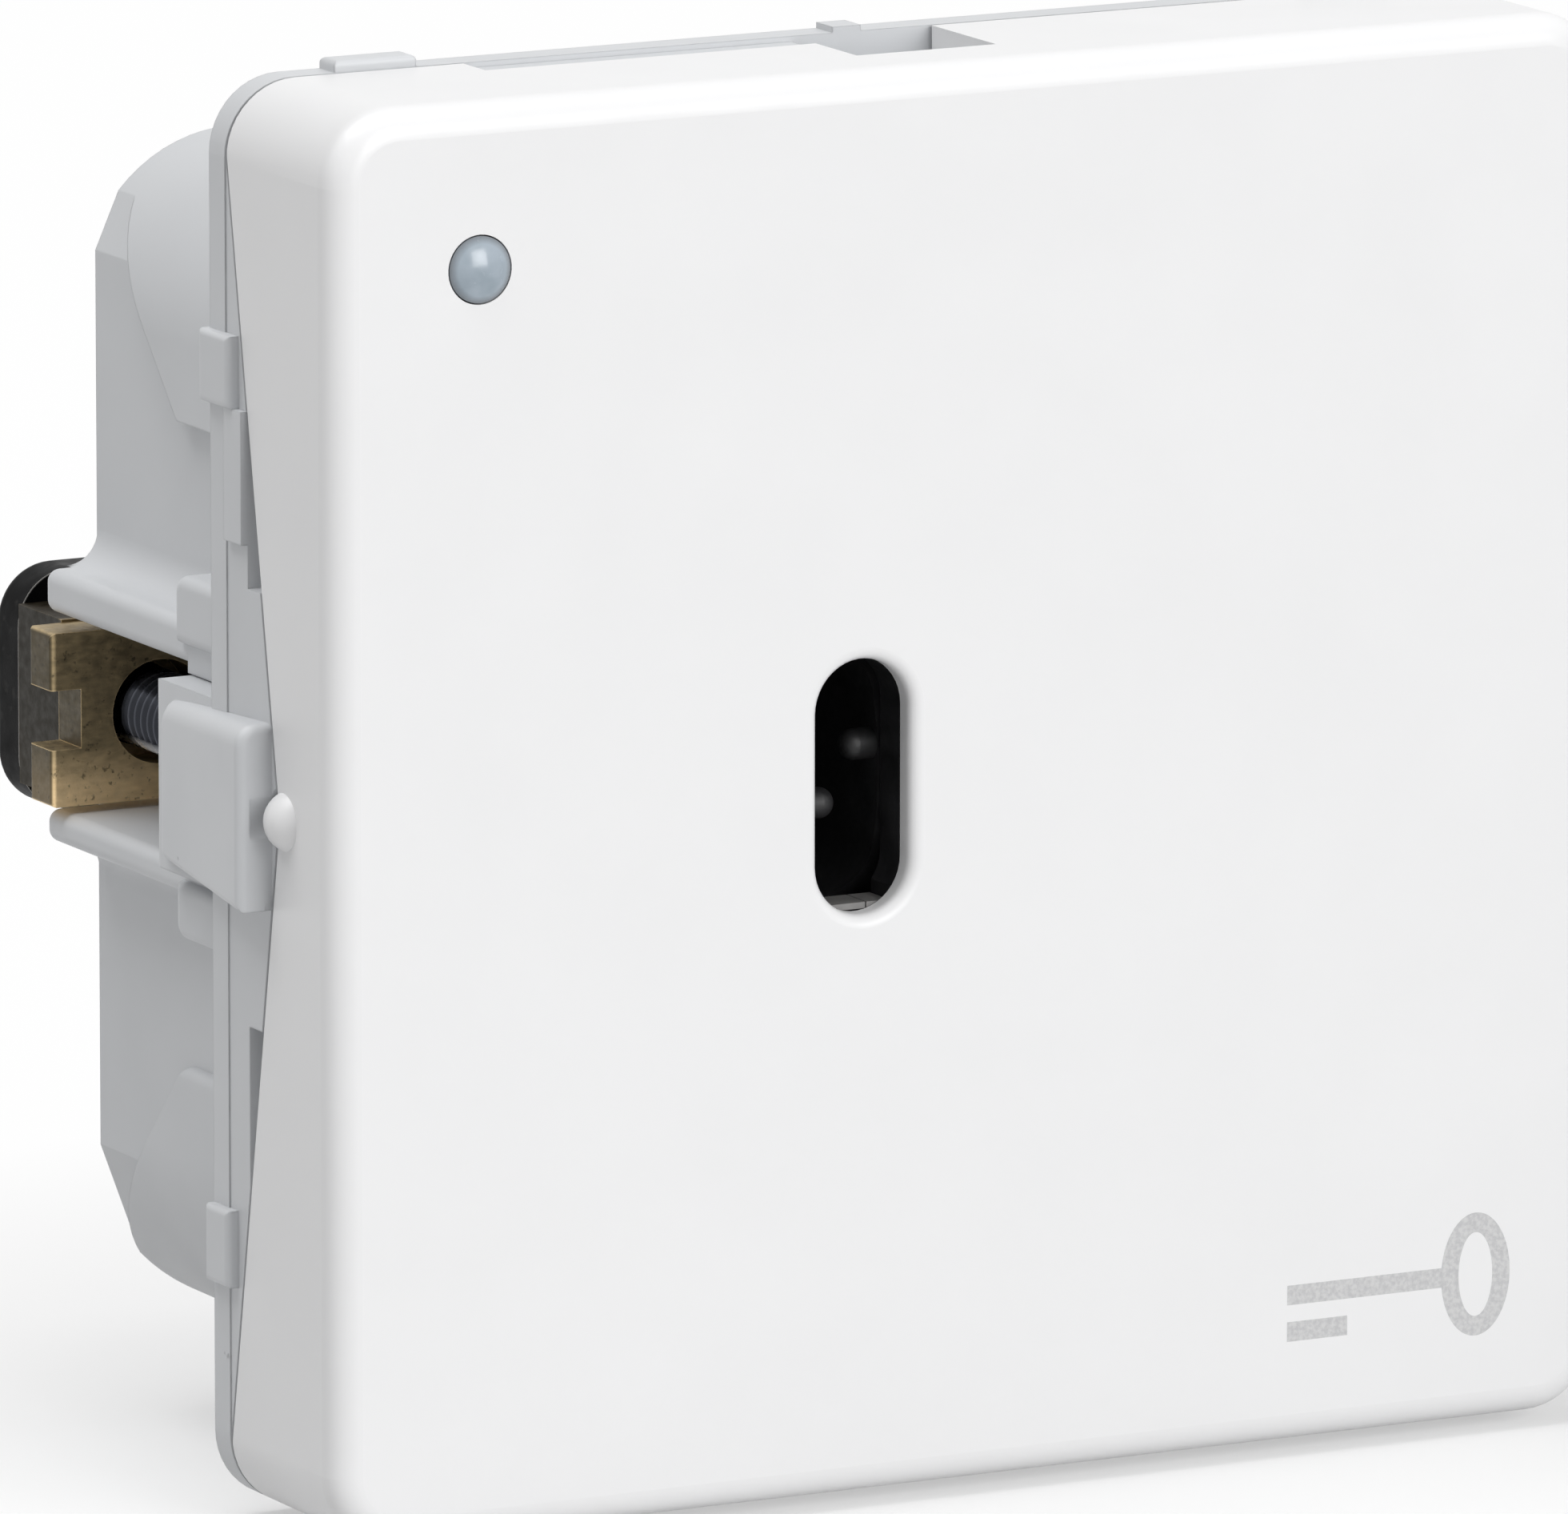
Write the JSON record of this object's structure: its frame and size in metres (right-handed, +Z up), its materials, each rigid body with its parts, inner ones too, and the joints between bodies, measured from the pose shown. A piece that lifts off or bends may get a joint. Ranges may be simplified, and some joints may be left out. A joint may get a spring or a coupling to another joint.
{
  "type": "key switch",
  "caption": "Flush wall key switch: square white cover with an upright key slot, indicator lens, coded rocker, contact lever, push-in terminals and side claws drawn by long screws",
  "frame": {"origin": "centre of the plane on the back of the flange, which lies on the wall or support frame", "axes": "X to the right seen from the room, Y into the wall, Z up"},
  "size_m": [0.052, 0.0314, 0.0504],
  "materials": {
    "white_gloss": "satin-gloss moulded thermoplastic, faint smudges and dust",
    "symbol_grey": "printed grey fill in a shallow engraving",
    "black_matte": "fine matt moulded black plastic",
    "clear_lens": "clear smoky light guide with a polished dome",
    "white_frame": "moulded white plastic, a little less glossy than the cover",
    "white_housing": "moulded white plastic, fine matt texture",
    "pale_board": "pale insulating board",
    "steel_bright": "bright drawn steel",
    "dark_pin": "steel pin with a dark dull finish",
    "dull_sill": "dull steel strip, scratched by the key",
    "spring_steel": "spring steel, lightly oiled",
    "brass_strip": "stamped brass strip, slightly dulled",
    "silver_tip": "silver contact tip, lightly tarnished",
    "board_green": "solder-masked circuit board",
    "led_white": "moulded light-emitting chip",
    "chip_black": "moulded component body",
    "button_grey": "grey moulded button",
    "zinc_screw": "zinc-plated steel, fine thread",
    "brass_nut": "dark tarnished cast brass with worn bright edges",
    "black_plate": "black-coated steel, glossy worn edges"
  },
  "bodies": {
    "base": {"base_frame": "white_frame", "rear_housing": "white_housing", "insulator_plate": "pale_board", "rocker_axle": "steel_bright", "fixed_tips": "silver_tip", "terminal_up": "brass_strip", "terminal_down": "brass_strip", "terminal_common": "brass_strip", "terminal_loop": "brass_strip", "clamp_springs": "spring_steel", "led_board": "board_green", "board_pins": "steel_bright", "led_chip": "led_white", "series_resistor": "chip_black", "series_diode": "chip_black"},
    "cover": {"cover_plate": "white_gloss", "symbol_inlay": "symbol_grey", "key_guide": "black_matte", "slot_sill": "dull_sill", "indicator_lens": "clear_lens"},
    "rocker": {"key_rocker": "black_matte", "code_pins": "dark_pin", "plunger": "black_matte", "plunger_spring": "spring_steel"},
    "contact": {"contact_lever": "brass_strip", "lever_tips": "silver_tip"},
    "claw_left": {"claw_nut_left": "brass_nut", "claw_plate_left": "black_plate"},
    "claw_right": {"claw_nut_right": "brass_nut", "claw_plate_right": "black_plate"},
    "screw_left": {"claw_screw_left": "zinc_screw"},
    "screw_right": {"claw_screw_right": "zinc_screw"},
    "button_up": {"release_button_up": "button_grey"},
    "button_down": {"release_button_down": "button_grey"},
    "button_common": {"release_button_common": "button_grey"},
    "button_loop": {"release_button_loop": "button_grey"}
  },
  "joints": [
    {"name": "cover_lift", "type": "slide", "parent": "base", "child": "cover", "axis": [0, -1, 0], "range_m": [0, 0.012]},
    {"name": "key_tilt", "type": "hinge", "parent": "base", "child": "rocker", "pos_m": [-0.00445, 0.003, 0], "axis": [1, 0, 0], "range_deg": [-7, 7], "stiffness_Nm_per_rad": 0.08},
    {"name": "contact_tilt", "type": "hinge", "parent": "base", "child": "contact", "pos_m": [-0.00445, 0.0112, 0], "axis": [1, 0, 0], "range_deg": [-4.25, 4.25]},
    {"name": "claw_left_slide", "type": "slide", "parent": "base", "child": "claw_left", "axis": [0, -1, 0], "range_m": [0, 0.0035]},
    {"name": "claw_right_slide", "type": "slide", "parent": "base", "child": "claw_right", "axis": [0, -1, 0], "range_m": [0, 0.0035]},
    {"name": "screw_left_turn", "type": "hinge", "parent": "base", "child": "screw_left", "pos_m": [-0.01975, 0, 0], "axis": [0, 1, 0], "range_deg": [0, 2521]},
    {"name": "screw_right_turn", "type": "hinge", "parent": "base", "child": "screw_right", "pos_m": [0.01975, 0, 0], "axis": [0, 1, 0], "range_deg": [0, 2521]},
    {"name": "button_up_press", "type": "slide", "parent": "base", "child": "button_up", "axis": [0, -1, 0], "range_m": [0, 0.0015], "stiffness_N_per_m": 300},
    {"name": "button_down_press", "type": "slide", "parent": "base", "child": "button_down", "axis": [0, -1, 0], "range_m": [0, 0.0015], "stiffness_N_per_m": 300},
    {"name": "button_common_press", "type": "slide", "parent": "base", "child": "button_common", "axis": [0, -1, 0], "range_m": [0, 0.0015], "stiffness_N_per_m": 300},
    {"name": "button_loop_press", "type": "slide", "parent": "base", "child": "button_loop", "axis": [0, -1, 0], "range_m": [0, 0.0015], "stiffness_N_per_m": 300}
  ],
  "couplings": [
    {"joint": "contact_tilt", "follows": "key_tilt", "ratio": -0.6},
    {"joint": "screw_left_turn", "follows": "claw_left_slide", "rad_per_m": 12566},
    {"joint": "screw_right_turn", "follows": "claw_right_slide", "rad_per_m": 12566}
  ]
}
